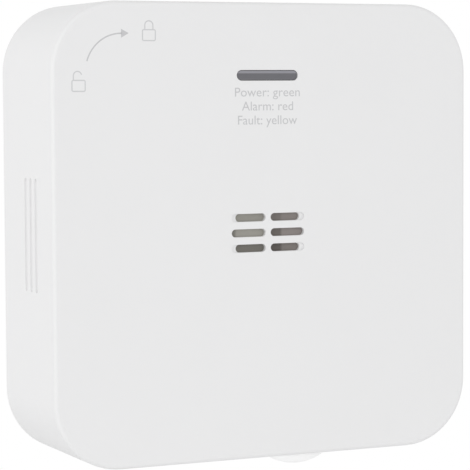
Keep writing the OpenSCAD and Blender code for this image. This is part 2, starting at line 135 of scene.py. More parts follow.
def rounded_profile(corners, radius, steps=5):
    """A profile with each inner corner rounded: a quadratic curve from radius before the corner to radius after."""
    corners = np.asarray(corners, float)
    out = [corners[:1]]
    for before, corner, after in zip(corners[:-2], corners[1:-1], corners[2:]):
        a, b = before - corner, after - corner
        reach = min(radius, np.linalg.norm(a) / 2.2, np.linalg.norm(b) / 2.2)
        start = corner + a / np.linalg.norm(a) * reach
        end = corner + b / np.linalg.norm(b) * reach
        s = np.linspace(0, 1, steps)[:, None]
        out.append((1 - s) ** 2 * start + 2 * s * (1 - s) * corner + s ** 2 * end)
    out.append(corners[-1:])
    return np.vstack(out)


def stadium_ring(half_run, radius, centre, steps=96):
    """A race-track outline in X and Z: a circle of that radius whose two halves are half_run either side."""
    t = np.linspace(-math.pi / 2, 1.5 * math.pi, steps, endpoint=False) + math.pi / steps
    x = centre[0] + np.where(np.cos(t) >= 0, half_run, -half_run) + radius * np.cos(t)
    return np.stack([x, np.zeros_like(t), centre[1] + radius * np.sin(t)], axis=1)


def stadium_solid(profile, half_run, centre, steps=96):
    """Carries (radius, depth) points round a race-track outline, each at its own distance from the middle line."""
    rings = [stadium_ring(half_run, radius, centre, steps) + [0, depth, 0] for radius, depth in profile]
    return np.stack(rings), grid_faces(len(rings), steps, wrap_columns=True)


def swept_tube(path, radius, sides=12):
    """A round tube along a path: rings of radius round each point, square to the path, closed at both ends.
    The ring's two directions come from the path's direction and the X axis."""
    path = np.asarray(path, float)
    ahead = np.gradient(path, axis=0)
    ahead /= np.linalg.norm(ahead, axis=1)[:, None]
    side = np.cross(ahead, [1.0, 0.0, 0.0])
    side /= np.linalg.norm(side, axis=1)[:, None]
    other = np.cross(ahead, side)
    t = np.linspace(0, 2 * math.pi, sides, endpoint=False)
    ring = side[:, None] * np.cos(t)[:, None] + other[:, None] * np.sin(t)[:, None]
    points = path[:, None] + radius * ring
    ends = [np.repeat(path[:1, None], sides, axis=1), np.repeat(path[-1:, None], sides, axis=1)]
    points = np.concatenate([ends[0], points, ends[1]])
    return points, grid_faces(len(points), sides, wrap_columns=True)


def outline_band(points, width, depth, thick, closed=False):
    """A thin printed line: the path in X and Z moved half the width to each side, and given a small thickness."""
    path = np.asarray(points, float)
    ahead = np.roll(path, -1, axis=0) - np.roll(path, 1, axis=0) if closed else np.gradient(path, axis=0)
    ahead /= np.linalg.norm(ahead, axis=1)[:, None]
    across = np.stack([-ahead[:, 1], ahead[:, 0]], axis=1) * width / 2
    left, right = path + across, path - across
    layers = []
    for flat, y in ((left, depth), (right, depth), (right, depth + thick), (left, depth + thick)):
        layers.append(np.stack([flat[:, 0], np.full(len(flat), y), flat[:, 1]], axis=1))
    count = len(path)
    faces = grid_faces(4, count, wrap_rows=True, wrap_columns=closed)
    if not closed:
        first = np.arange(4) * count
        faces = np.vstack([faces, first[::-1], first + count - 1])
    return np.concatenate(layers), faces


def softened(node, width, segments=3):
    """A merged copy of a frame node whose sharp edges are rounded with a bevel of that width."""
    work = bmesh.new()
    work.from_mesh(frame["nodes"][node].data)
    bmesh.ops.remove_doubles(work, verts=work.verts, dist=1e-6)
    bmesh.ops.dissolve_limit(
        work, angle_limit=math.radians(0.4), use_dissolve_boundaries=False, verts=work.verts, edges=work.edges
    )
    mesh = bpy.data.meshes.new(node + "_moulding")
    work.to_mesh(mesh)
    work.free()
    mesh.shade_smooth()
    piece = bpy.data.objects.new(mesh.name, mesh)
    bpy.context.scene.collection.objects.link(piece)
    bevel = piece.modifiers.new("rounded_edges", "BEVEL")
    bevel.width = width
    bevel.segments = segments
    bevel.limit_method = "ANGLE"
    bevel.angle_limit = math.radians(32)
    bevel.miter_outer = "MITER_ARC"
    weighted = piece.modifiers.new("flat_faces", "WEIGHTED_NORMAL")
    weighted.keep_sharp = True
    weighted.weight = 80
    return piece


def settle(piece, node, material, replace=True):
    """Puts a piece on its node's body, with its material."""
    piece.data.materials.clear()
    piece.data.materials.append(material)
    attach(piece, BODY_OF[node])
    if replace:
        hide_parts(node)
    return piece


# ---- shader expressions ----

class Wire:
    """A shader socket on which Python arithmetic adds Math nodes."""

    def __init__(self, finish, socket):
        self.finish = finish
        self.socket = socket

    def math(self, operation, first, second=0.0):
        return self.finish.node("ShaderNodeMath", {"operation": operation}, {0: first, 1: second})

    def __add__(self, other):
        return self.math("ADD", self, other)

    def __radd__(self, other):
        return self.math("ADD", other, self)

    def __sub__(self, other):
        return self.math("SUBTRACT", self, other)

    def __rsub__(self, other):
        return self.math("SUBTRACT", other, self)

    def __mul__(self, other):
        return self.math("MULTIPLY", self, other)

    def __rmul__(self, other):
        return self.math("MULTIPLY", other, self)

    def __gt__(self, other):
        return self.math("GREATER_THAN", self, other)

    def __lt__(self, other):
        return self.math("LESS_THAN", self, other)

    def __abs__(self):
        return self.math("ABSOLUTE", self)

    def sine(self):
        return self.math("SINE", self)


class Finish:
    """A material under construction: its node tree and its main shader."""

    def __init__(self, name, **fixed):
        self.material = bpy.data.materials.new(name)
        self.material.use_nodes = True
        self.tree = self.material.node_tree
        self.shader = self.tree.nodes["Principled BSDF"]
        for socket, value in fixed.items():
            self.shader.inputs[socket.replace("_", " ")].default_value = value
        self.place = self.node("ShaderNodeTexCoord", output="Object")

    def node(self, kind, settings=None, sockets=None, output=0):
        """Adds a node, sets its settings first and then its sockets, and gives one of its outputs."""
        made = self.tree.nodes.new(kind)
        for key, value in (settings or {}).items():
            setattr(made, key, value)
        for key, value in (sockets or {}).items():
            if isinstance(value, Wire):
                self.tree.links.new(value.socket, made.inputs[key])
            else:
                made.inputs[key].default_value = value
        return Wire(self, made.outputs[output])

    def noise(self, scale, detail=3.0, roughness=0.5, place=None):
        """Soft random values; scale is in features per metre."""
        sockets = {"Vector": place or self.place, "Scale": scale, "Detail": detail, "Roughness": roughness}
        return self.node("ShaderNodeTexNoise", None, sockets)

    def stretched(self, scale):
        """The object's own coordinates, stretched along each axis."""
        return self.node("ShaderNodeMapping", None, {"Vector": self.place, "Scale": scale})

    def axis(self, letter):
        """One of the object's own coordinates, in metres."""
        return self.node("ShaderNodeSeparateXYZ", None, {0: self.place}, output=letter)

    def ramp(self, value, low, high):
        """0 below low, 1 above high and a straight slope between."""
        return self.node("ShaderNodeMapRange", {"clamp": True}, {0: value, 1: low, 2: high, 3: 0.0, 4: 1.0})

    def mix(self, factor, first, second):
        """From the first colour to the second as factor goes from 0 to 1."""
        sockets = {0: factor, 6: first, 7: second}
        return self.node("ShaderNodeMix", {"data_type": "RGBA", "clamp_factor": True}, sockets, output=2)

    def set(self, socket, value):
        self.tree.links.new(value.socket, self.shader.inputs[socket])
        return self

    def bump(self, height, distance, strength=1.0):
        """Relief of that height in metres, from values between 0 and 1."""
        sockets = {"Height": height, "Distance": distance, "Strength": strength}
        return self.set("Normal", self.node("ShaderNodeBump", None, sockets))


def tint(colour, factor):
    """A colour made lighter or darker by a factor, with full alpha."""
    return tuple(min(1.0, channel * factor) for channel in colour[:3]) + (1.0,)


# ---- finishes ----

def moulded_plastic(name, colour, roughness=0.42, grain=1.0):
    """Injection-moulded plastic with a fine spark-eroded grain, faint flow clouds and slightly uneven gloss."""
    finish = Finish(name, IOR=1.5, Specular_IOR_Level=0.45)
    clouds = finish.noise(45, 2)
    texture = finish.noise(5200, 2, 0.6)
    speckle = finish.noise(1600, 1)
    colour_value = clouds * 0.6 + texture * 0.4
    finish.set("Base Color", finish.mix(colour_value, tint(colour, 0.985), tint(colour, 1.015)))
    finish.set("Roughness", roughness - 0.05 + clouds * 0.06 + speckle * 0.04)
    finish.bump(texture * 0.7 + speckle * 0.3, 6e-6 * grain, 0.35)
    return finish.material


def smoked_acrylic(name, colour):
    """Polished smoked plastic with a little dust and faint swirls, and a painted highlight: a lighter line near its
    top.
    """
    finish = Finish(name, IOR=1.49, Coat_Weight=0.3, Coat_Roughness=0.04)
    dust = finish.noise(2600, 4, 0.7)
    swirl = finish.noise(300, 2)
    smoke = finish.mix(swirl * 0.5 + dust * 0.5, tint(colour, 0.9), tint(colour, 1.1))
    height = finish.axis("Z")
    # Painted highlight: a lighter line just below the bar's top, mixed towards a much lighter tint of the smoke.
    top = WINDOW_MIDDLE + 1.05 * MM
    line = finish.ramp(height, top - 0.75 * MM, top - 0.4 * MM) - finish.ramp(height, top - 0.25 * MM, top) * 0.5
    finish.set("Base Color", finish.mix(line, smoke, tint(colour, 2.3)))
    finish.set("Roughness", 0.12 + dust * 0.12)
    finish.bump(swirl, 4e-6, 0.3)
    return finish.material


def printed_ink(name, colour):
    """Thin pad-printed ink, slightly thinner here and there, with a matte face."""
    finish = Finish(name, Specular_IOR_Level=0.3)
    thin = finish.noise(3800, 3, 0.65)
    finish.set("Base Color", finish.mix(thin, tint(colour, 0.94), tint(colour, 1.08)))
    finish.set("Roughness", 0.5 + thin * 0.2)
    finish.bump(thin, 2e-6, 0.4)
    return finish.material


def plated_metal(name, colour, roughness=0.28, drawn=(400, 400, 400)):
    """Plated metal with fine drawn lines along its least stretched direction, and small dull spots."""
    finish = Finish(name, Metallic=1.0)
    lines = finish.noise(1.0, 3, 0.6, finish.stretched(drawn))
    spots = finish.noise(900, 4, 0.7)
    finish.set("Base Color", finish.mix(spots, tint(colour, 0.86), tint(colour, 1.08)))
    finish.set("Roughness", roughness - 0.06 + lines * 0.14 + spots * 0.08)
    finish.bump(lines, 4e-6, 0.3)
    return finish.material


def circuit_laminate(name, colour):
    """Solder mask over copper: raised tracks in lighter green and glass weave below."""
    finish = Finish(name, IOR=1.5, Coat_Weight=0.25, Coat_Roughness=0.25)
    x, z = finish.axis("X"), finish.axis("Z")
    wave = finish.noise(55, 1)
    pitch = 2600
    track_x = abs((x * pitch + wave * 9).sine()) > 0.82
    track_z = abs((z * pitch + wave * 7).sine()) > 0.82
    sockets = {"Vector": finish.place, "Scale": 110, "Randomness": 0.9}
    cells = finish.node("ShaderNodeTexVoronoi", {"distance": "CHEBYCHEV"}, sockets, output=1)
    pick = finish.node("ShaderNodeSeparateColor", None, {0: cells}, output=0)
    tracks = track_x * (pick > 0.55) + track_z * (pick < 0.4)
    weave = finish.noise(2400, 2)
    green = finish.mix(weave, tint(colour, 0.9), tint(colour, 1.1))
    finish.set("Base Color", finish.mix(tracks * 0.55, green, tint(colour, 1.9)))
    finish.set("Roughness", 0.34 + weave * 0.12)
    finish.bump(tracks * 0.7 + weave * 0.3, 1.5e-5, 0.5)
    return finish.material


def chip_resin(name, colour):
    """Moulded epoxy with a sparkling filler grain."""
    finish = Finish(name, Specular_IOR_Level=0.35)
    grain = finish.noise(7000, 3, 0.7)
    broad = finish.noise(260, 2)
    finish.set("Base Color", finish.mix(grain, tint(colour, 0.7), tint(colour, 1.9)))
    finish.set("Roughness", 0.5 + grain * 0.15 + broad * 0.08)
    finish.bump(grain, 8e-6, 0.4)
    return finish.material


def lamp_resin(name, colour):
    """Clear tinted resin in a white cup, unlit, its colour clouded in soft swirls."""
    finish = Finish(name, IOR=1.5, Coat_Weight=0.5, Coat_Roughness=0.06)
    swirl = finish.noise(700, 2)
    fine = finish.noise(4200, 2)
    finish.set("Base Color", finish.mix(swirl, tint(colour, 0.8), tint(colour, 1.25)))
    finish.set("Roughness", 0.16 + fine * 0.1)
    finish.bump(fine, 3e-6, 0.3)
    return finish.material


def shrink_sleeve(name, colour, band):
    """A cell's printed sleeve: a coloured band at one end, fine lengthwise stretch lines and glossy film."""
    finish = Finish(name, Coat_Weight=0.6, Coat_Roughness=0.12)
    lines = finish.noise(1.0, 2, 0.5, finish.stretched((60, 900, 900)))
    banded = (abs(finish.axis("X")) > 0.0135) * 0.92
    base = finish.mix(lines, tint(colour, 0.9), tint(colour, 1.12))
    finish.set("Base Color", finish.mix(banded, base, band))
    finish.set("Roughness", 0.2 + lines * 0.14)
    finish.bump(lines, 6e-6, 0.4)
    return finish.material


def closed_foam(name, colour):
    """Closed-cell foam: small round cells that pit the skin."""
    finish = Finish(name, Specular_IOR_Level=0.2)
    cells = finish.node("ShaderNodeTexVoronoi", None, {"Vector": finish.place, "Scale": 2600})
    broad = finish.noise(500, 2)
    finish.set("Base Color", finish.mix(cells, tint(colour, 0.6), tint(colour, 1.5)))
    finish.set("Roughness", 0.82 + broad * 0.12)
    finish.bump(cells, 5e-5, 0.6)
    return finish.material


def woven_gauze(name, colour):
    """Fine gauze of crossing threads, with painted shade: a darker band right of the middle, a darker low part,
    a slightly darker high part and a near-black rim on the left. From the band rightwards it is browner and darker."""
    finish = Finish(name, Specular_IOR_Level=0.15)
    x, z = finish.axis("X"), finish.axis("Z")
    thread = 2 * math.pi / (0.28 * MM)
    warp = abs((x * thread).sine())
    weft = abs((z * thread).sine())
    cloud = finish.noise(350, 2)
    # Painted shade: position masks that darken the gauze towards near-black, mixed in below.
    past = finish.ramp(x, 3.3 * MM, 3.9 * MM)
    band = finish.ramp(x, 0.2 * MM, 0.6 * MM) - past
    low = finish.ramp(z * -1.0, 0.8 * MM, 2.6 * MM)
    high = finish.ramp(z, 0.8 * MM, 2.6 * MM)
    rim = finish.ramp(x * -1.0, 7.2 * MM, 7.8 * MM)
    painted_band_shade = band * (0.58 - high * 0.27 - low * 0.13)
    light = (1.0 - painted_band_shade) * (1.0 - low * 0.6 * (1.0 - past * 0.5)) * (1.0 - rim * 0.45) * (1.0 - high * 0.12)
    painted_shade = 1.0 - light
    brown = (colour[0] * 0.76, colour[1] * 0.7, colour[2] * 0.74, 1)
    plain = finish.mix(past + band, tint(colour, 1.0), brown)
    # Painted shade: the gauze mixed towards near-black by these masks.
    with_painted_shade = finish.mix(painted_shade, plain, (0.045, 0.038, 0.032, 1))
    finish.set("Base Color", finish.mix((warp + weft) * 0.14 + cloud * 0.14, with_painted_shade, tint(colour, 0.45)))
    finish.set("Roughness", 0.75 + cloud * 0.15)
    finish.bump(warp * 0.5 + weft * 0.5, 4e-5, 0.4)
    return finish.material


def fired_ceramic(name, colour, ends):
    """Small ceramic parts: a grainy body whose grains go from its own colour to the colour of its ends."""
    finish = Finish(name, Specular_IOR_Level=0.4)
    grain = finish.noise(5200, 3, 0.6)
    broad = finish.noise(420, 1)
    finish.set("Base Color", finish.mix(grain, tint(colour, 0.8), ends))
    finish.set("Roughness", 0.45 + broad * 0.2)
    finish.bump(grain, 6e-6, 0.4)
    return finish.material


def wound_coil(name, colour):
    """Enamelled wire wound in close turns: a ridge for each turn along the coil's length."""
    finish = Finish(name, Coat_Weight=0.5, Coat_Roughness=0.1)
    turns = abs((finish.axis("Y") * 9000).sine())
    cloud = finish.noise(600, 2)
    finish.set("Base Color", finish.mix(turns * 0.7 + cloud * 0.3, tint(colour, 0.45), tint(colour, 1.5)))
    finish.set("Roughness", 0.25 + cloud * 0.15)
    finish.bump(turns, 6e-5, 0.8)
    return finish.material


def soft_film(name, colour):
    """A blank label of satin film with faint coating streaks."""
    finish = Finish(name, Coat_Weight=0.2, Coat_Roughness=0.3)
    streaks = finish.noise(1.0, 3, 0.6, finish.stretched((90, 90, 1400)))
    finish.set("Base Color", finish.mix(streaks, tint(colour, 0.94), tint(colour, 1.05)))
    finish.set("Roughness", 0.36 + streaks * 0.14)
    finish.bump(streaks, 3e-6, 0.3)
    return finish.material


def make_finishes(cover):
    """One material for each of the record's slots."""
    white = tuple(cover.colour)
    return {
        "cover_plastic": moulded_plastic("cover_plastic", white, cover.roughness, cover.grain),
        "button_plastic": moulded_plastic("button_plastic", tuple(cover.button_colour), 0.36, cover.grain),
        "rear_plastic": moulded_plastic("rear_plastic", tint(white, 0.96), 0.5, 1.6),
        "plate_plastic": moulded_plastic("plate_plastic", tint(white, 0.92), 0.55, 2.0),
        "light_box_plastic": moulded_plastic("light_box_plastic", tint(white, 0.95), 0.5, 1.0),
        "switch_plastic": moulded_plastic("switch_plastic", (0.02, 0.02, 0.022), 0.5, 1.5),
        "sounder_plastic": moulded_plastic("sounder_plastic", (0.018, 0.018, 0.02), 0.45, 1.5),
        "smoked_window": smoked_acrylic("smoked_window", (0.107, 0.106, 0.118)),
        "print_grey": printed_ink("print_grey", (0.5, 0.5, 0.51)),
        "print_pale": printed_ink("print_pale", (0.54, 0.54, 0.55)),
        "lamp_green": lamp_resin("lamp_green", (0.2, 0.55, 0.2)),
        "lamp_red": lamp_resin("lamp_red", (0.6, 0.08, 0.06)),
        "lamp_yellow": lamp_resin("lamp_yellow", (0.7, 0.5, 0.06)),
        "board_laminate": circuit_laminate("board_laminate", (0.02, 0.11, 0.045)),
        "chip_resin": chip_resin("chip_resin", (0.012, 0.012, 0.013)),
        "tinned_metal": plated_metal("tinned_metal", (0.72, 0.72, 0.7), 0.3),
        "can_metal": plated_metal("can_metal", (0.66, 0.66, 0.64), 0.32, (300, 300, 2500)),
        "resistor_ceramic": fired_ceramic("resistor_ceramic", (0.015, 0.015, 0.018), (0.05, 0.05, 0.055, 1)),
        "capacitor_ceramic": fired_ceramic("capacitor_ceramic", (0.36, 0.24, 0.13), (0.46, 0.33, 0.2, 1)),
        "capacitor_sleeve": soft_film("capacitor_sleeve", (0.02, 0.025, 0.07)),
        "coil_winding": wound_coil("coil_winding", (0.3, 0.1, 0.03)),
        "sensor_metal": plated_metal("sensor_metal", (0.4, 0.375, 0.33), 0.42, (700, 700, 700)),
        "gilt_metal": plated_metal("gilt_metal", (0.85, 0.62, 0.25), 0.25),
        "gasket_foam": closed_foam("gasket_foam", (0.05, 0.045, 0.03)),
        "filter_gauze": woven_gauze("filter_gauze", (0.405, 0.393, 0.356)),
        "piezo_brass": plated_metal("piezo_brass", (0.75, 0.53, 0.22), 0.3, (200, 200, 1800)),
        "cell_sleeve": shrink_sleeve("cell_sleeve", (0.42, 0.43, 0.44), (0.03, 0.16, 0.2, 1)),
        "spring_metal": plated_metal("spring_metal", (0.7, 0.68, 0.64), 0.24),
        "contact_metal": plated_metal("contact_metal", (0.7, 0.68, 0.64), 0.3, (200, 200, 2200)),
        "screw_metal": plated_metal("screw_metal", (0.62, 0.62, 0.63), 0.34),
        "label_film": soft_film("label_film", (0.62, 0.62, 0.62)),
    }


FINISHES = {}


def finish_for(slot):
    """The material of a slot. All of them are made the first time one is asked for."""
    if not FINISHES:
        FINISHES.update(make_finishes(bpy.context.scene.detector_cover))
    return FINISHES[slot]


# ---- settings ----

class DetectorCoverSettings(bpy.types.PropertyGroup):
    """Mouldings of the housing."""

    colour: FloatVectorProperty(
        name="Colour", description="White of the mouldings", subtype="COLOR",
        default=(0.721, 0.721, 0.7245), min=0, max=1,
    )
    roughness: FloatProperty(
        name="Roughness", description="How matt the cover's outer face is", default=0.42, min=0, max=1
    )
    grain: FloatProperty(
        name="Grain", description="Depth of the moulded grain, 1 is 6 micrometres", default=1.0, min=0
    )
    button_colour: FloatVectorProperty(
        name="Button colour", description="White of the test button", subtype="COLOR",
        default=(0.93, 0.93, 0.93), min=0, max=1,
    )
    edge: FloatProperty(
        name="Edge", description="Rounding of slot, hole and rim edges", default=0.22 * MM, unit="LENGTH", min=0
    )
    inner_edge: FloatProperty(
        name="Inner edge", description="Rounding of the inner parts' edges", default=0.12 * MM, unit="LENGTH", min=0
    )


class DetectorWindowSettings(bpy.types.PropertyGroup):
    """The smoked window in front of the lamps."""

    height: FloatProperty(
        name="Height", description="Height of the visible bar", default=2.14 * MM, unit="LENGTH", min=0
    )
    crown: FloatProperty(name="Crown", description="Rise of the bar's middle", default=0.1 * MM, unit="LENGTH", min=0)
    sunk: FloatProperty(name="Sunk", description="Depth of the bar's rim", default=0.22 * MM, unit="LENGTH", min=0)
    flange: FloatProperty(name="Flange", description="Thickness of the flange", default=0.8 * MM, unit="LENGTH", min=0)


class DetectorButtonSettings(bpy.types.PropertyGroup):
    """The domed test button."""

    diameter: FloatProperty(name="Diameter", description="Diameter of the cap", default=14 * MM, unit="LENGTH", min=0)
    dome: FloatProperty(name="Dome", description="Height of the domed end", default=2.4 * MM, unit="LENGTH", min=0)
    flange: FloatProperty(name="Flange", description="Thickness of the flange", default=1.2 * MM, unit="LENGTH", min=0)
    flange_from: FloatProperty(
        name="Flange place", description="From the dome's tip to the flange", default=6.2 * MM, unit="LENGTH", min=0
    )
    stem: FloatProperty(name="Stem", description="Diameter of the stem", default=5 * MM, unit="LENGTH", min=0)


class DetectorPrintSettings(bpy.types.PropertyGroup):
    """Marks printed on the front."""

    ink: FloatProperty(name="Ink", description="Thickness of the ink", default=0.005 * MM, unit="LENGTH", min=0)
    capital: FloatProperty(
        name="Capital height", description="Height of the legend's capitals", default=2.05 * MM, unit="LENGTH", min=0
    )
    row: FloatProperty(
        name="Row pitch", description="From one row to the next", default=3.04 * MM, unit="LENGTH", min=0
    )
    first_row: FloatProperty(
        name="First row", description="Height of the first row's foot", default=29.56 * MM, unit="LENGTH"
    )
    line: FloatProperty(name="Line", description="Width of the arrow's line", default=0.3 * MM, unit="LENGTH", min=0)
    lock_line: FloatProperty(
        name="Padlock line", description="Width of the padlocks' lines", default=0.26 * MM, unit="LENGTH", min=0
    )
    arc_radius: FloatProperty(
        name="Arc radius", description="Radius of the turning arrow", default=8.2 * MM, unit="LENGTH", min=0
    )


class DetectorStageSettings(bpy.types.PropertyGroup):
    """Camera, floor and lights."""

    lens: FloatProperty(name="Lens", description="Focal length", default=163.3, min=20, max=400)
    turn: FloatProperty(
        name="Turn", description="Camera's turn to the left of the front", default=math.radians(24.84), subtype="ANGLE"
    )
    rise: FloatProperty(
        name="Rise", description="Camera's angle above level", default=math.radians(3.769), subtype="ANGLE"
    )
    roll: FloatProperty(name="Roll", description="Camera's roll", default=math.radians(-0.33), subtype="ANGLE")
    distance: FloatProperty(name="Distance", description="From the camera to its aim", default=0.4641, unit="LENGTH")
    aim: FloatVectorProperty(
        name="Aim", description="Aim on the front face, to the right and up", size=2, default=(-0.00804, -0.00051)
    )
    floor_drop: FloatProperty(
        name="Floor", description="From the object's lowest point to the floor", default=0.25, unit="LENGTH", min=0
    )
    floor_reach: FloatProperty(
        name="Floor radius", description="Radius of the round floor", default=1.0, unit="LENGTH", min=0.2
    )
    floor_colour: FloatVectorProperty(
        name="Floor colour", description="Colour of the floor", subtype="COLOR",
        default=(0.9, 0.9, 0.9), min=0, max=1,
    )
    sky: FloatProperty(name="Surround", description="Strength of the white surround", default=1.0, min=0)
    key: FloatProperty(name="Key", description="Power of the left softbox in watts", default=1.6, min=0)
    front: FloatProperty(name="Front", description="Power of the upper front softbox in watts", default=0.55, min=0)
    fill: FloatProperty(name="Fill", description="Power of the low front softbox in watts", default=0.22, min=0)


# ---- fixed sizes, in millimetres where a length ----

CAPITAL_TOP = 0.729  # height of the built-in font's capitals, for a font size of 1
LEGEND = (("Power: green", 15.7), ("Alarm: red", 12.4), ("Fault: yellow", 14.3))  # words and row width
PADLOCKS = ((-45.45, 30.85, 1.25, 12), (-29.4, 41.55, 1.475, 0))  # left, foot, shackle's middle and end angle
PADLOCK_BOX = (2.95, 2.3, 0.3)  # width, height and corner radius
SHACKLE = (0.93, 0.95)  # radius, and height of its middle above the box
ARC_TOP = (-34.2, 43.05)  # where the arrow's arc ends, right of and above the middle
ARROW_HEAD = ((-34.3, 44.0), (-34.3, 42.1), (-32.55, 43.1), (-32.55, 43.1))
INNER_ROUNDING = {
    "main_board": 0.1, "microcontroller": 0.12, "sensor_amplifier": 0.1, "crystal": 0.35,
    "chip_resistors": 0.06, "chip_capacitors": 0.1, "electrolytic_capacitors": 0.4, "sounder_coil": 0.2,
    "co_sensor": 0.15, "sensor_gasket": 0.15, "dust_filter": 0.08, "sounder_cup": 0.4, "tact_switch": 0.2,
    "led_green": 0.15, "led_red": 0.15, "led_yellow": 0.15, "rating_label": 0.04,
    "battery_contacts": 0.08, "board_screws": 0.15, "housing_screws": 0.15,
}
FINISH_ONLY = ("chip_leads", "sensor_pins", "piezo_disc")
CELL_ROW = 7.5  # height of a spring's middle above or below the middle of the housing
SPRING_WIRE = 0.4  # radius of the wire
SPRING_RADIUS = (4.4, 2.4)  # to the wire's middle, at the wall and at the cell
SPRING_LENGTH = 5.05
SPRING_TURNS = 4.2
CAP_HEIGHT = 1.0  # of a cell's raised contact
CAP_RADIUS = 2.75
SLEEVE_LIP = 2.2  # how far the sleeve reaches in over a cell's ends
SLEEVE_FOLD = 1.9  # how far in it stays flat
SOFTBOXES = (  # name, setting of its power, place, aim and size in metres
    ("left_softbox", "key", (-0.9, -0.35, 0.15), (0, 0, 0), 0.7),
    ("front_softbox", "front", (-0.4, -0.75, 0.5), (0, 0, 0), 0.3),
    ("fill_softbox", "fill", (0.2, -0.62, -0.2), (0, 0, -0.02), 0.25),
)


# ---- operators ----

class DETECTOR_OT_cover(bpy.types.Operator):
    """Builds the front cover, the rear cover and the wall plate with rounded edges"""

    bl_idname = "detector.cover"
    bl_label = "Covers and wall plate"

    def execute(self, context):
        settings = context.scene.detector_cover
        settle(softened("front_cover", settings.edge), "front_cover", finish_for("cover_plastic"))
        for node in ("rear_cover", "wall_plate", "led_light_box"):
            settle(softened(node, settings.inner_edge, 2), node, finish_for(SLOTS[node]))
        return {"FINISHED"}


class DETECTOR_OT_window(bpy.types.Operator):
    """Builds the smoked window with its crowned bar and flange"""

    bl_idname = "detector.window"
    bl_label = "Window"

    def execute(self, context):
        settings = context.scene.detector_window
        radius = settings.height / 2
        wide = (WINDOW_HIGH.z - WINDOW_LOW.z) / 2
        half_run = (WINDOW_HIGH.x - WINDOW_LOW.x) / 2 - wide
        rim, back = FRONT + settings.sunk, WINDOW_HIGH.y
        s = np.linspace(0, 1, 14)
        crown = np.stack([radius * s, rim - settings.crown * np.sqrt(1 - s ** 6)], axis=1)
        body = rounded_profile(
            [(radius, rim), (radius, back - settings.flange), (wide, back - settings.flange), (wide, back), (0, back)],
            0.1 * MM,
        )
        shape = stadium_solid(np.vstack([crown, body[1:]]), half_run, (0, WINDOW_MIDDLE))
        settle(make_piece("window_bar", *shape), "led_window", finish_for("smoked_window"))
        return {"FINISHED"}


class DETECTOR_OT_button(bpy.types.Operator):
    """Builds the domed test button with its flange and stem"""

    bl_idname = "detector.button"
    bl_label = "Test button"

    def execute(self, context):
        settings = context.scene.detector_button
        low, high = BUTTON_LOW, BUTTON_HIGH
        centre = ((low.x + high.x) / 2, (low.y + high.y) / 2, low.z)
        radius = settings.diameter / 2
        flange_radius = (high.x - low.x) / 2
        sphere = (radius ** 2 + settings.dome ** 2) / (2 * settings.dome)
        reach = np.linspace(0, radius, 22)
        dome = np.stack([reach, sphere - np.sqrt(sphere ** 2 - reach ** 2)], axis=1)
        flange = settings.flange_from
        rest = rounded_profile(
            [
                dome[-2],
                (radius, settings.dome),
                (radius, flange),
                (flange_radius, flange),
                (flange_radius, flange + settings.flange),
                (settings.stem / 2, flange + settings.flange),
                (settings.stem / 2, high.z - low.z),
                (0, high.z - low.z),
            ],
            0.25 * MM,
        )
        shape = lathe(np.vstack([dome[:-1], rest[1:]]), centre, (0, 0, 1))
        settle(make_piece("button_cap", *shape), "test_button", finish_for("button_plastic"))
        settle(softened("switch_plunger", 0.15 * MM, 2), "switch_plunger", finish_for("switch_plastic"))
        return {"FINISHED"}


def letters_mesh(name, words, capital, width, centre_x, foot, depth, thick):
    """A row of letters as a mesh. Each point's x is scaled to the row's width about its centre, its height to the
    capitals' height above the foot, and its thickness to the ink's in front of the depth."""
    curve = bpy.data.curves.new("letters", "FONT")
    curve.body = words
    curve.resolution_u = 6
    curve.extrude = 0.5
    letters = bpy.data.objects.new("letters", curve)
    bpy.context.scene.collection.objects.link(letters)
    bpy.context.view_layer.update()
    mesh = bpy.data.meshes.new_from_object(letters.evaluated_get(bpy.context.evaluated_depsgraph_get()))
    bpy.data.objects.remove(letters)
    bpy.data.curves.remove(curve)
    mesh.name = name
    flat = np.zeros(len(mesh.vertices) * 3)
    mesh.vertices.foreach_get("co", flat)
    flat = flat.reshape(-1, 3)
    middle = (flat[:, 0].min() + flat[:, 0].max()) / 2
    x = (flat[:, 0] - middle) * width / np.ptp(flat[:, 0]) + centre_x
    y = depth + (0.5 - flat[:, 2]) * thick
    z = flat[:, 1] * capital / CAPITAL_TOP + foot
    mesh.vertices.foreach_set("co", np.stack([x, y, z], axis=1).ravel())
    work = bmesh.new()
    work.from_mesh(mesh)
    bmesh.ops.remove_doubles(work, verts=work.verts, dist=1e-7)
    bmesh.ops.recalc_face_normals(work, faces=work.faces)
    work.to_mesh(mesh)
    work.free()
    return mesh


class DETECTOR_OT_legend(bpy.types.Operator):
    """Prints the three plain rows that say what the lamps' colours mean"""

    bl_idname = "detector.legend"
    bl_label = "Lamp legend"

    def execute(self, context):
        settings = context.scene.detector_print
        depth, ink = FRONT - settings.ink, settings.ink
        for number, (words, width) in enumerate(LEGEND):
            foot = settings.first_row - number * settings.row
            name = "legend_row_%d" % (number + 1)
            mesh = letters_mesh(name, words, settings.capital, width * MM, 0.0, foot, depth, ink)
            piece = bpy.data.objects.new(name, mesh)
            context.scene.collection.objects.link(piece)
            piece.data.materials.append(finish_for("print_grey"))
            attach(piece, "housing")
        return {"FINISHED"}


def arc_points(centre, radius, start, end, steps):
    """Points on a circle from one angle to another, in degrees from the right, counted upwards."""
    t = np.radians(np.linspace(start, end, steps))
    return np.stack([centre[0] + radius * np.cos(t), centre[1] + radius * np.sin(t)], axis=1)


def rounded_box_path(left, foot, width, height, radius, steps=5):
    """A closed box outline with round corners, as four quarter circles."""
    corners = [
        (left + width - radius, foot + height - radius, 0),
        (left + radius, foot + height - radius, 90),
        (left + radius, foot + radius, 180),
        (left + width - radius, foot + radius, 270),
    ]
    return np.vstack([arc_points((x, z), radius, a, a + 90, steps) for x, z, a in corners])


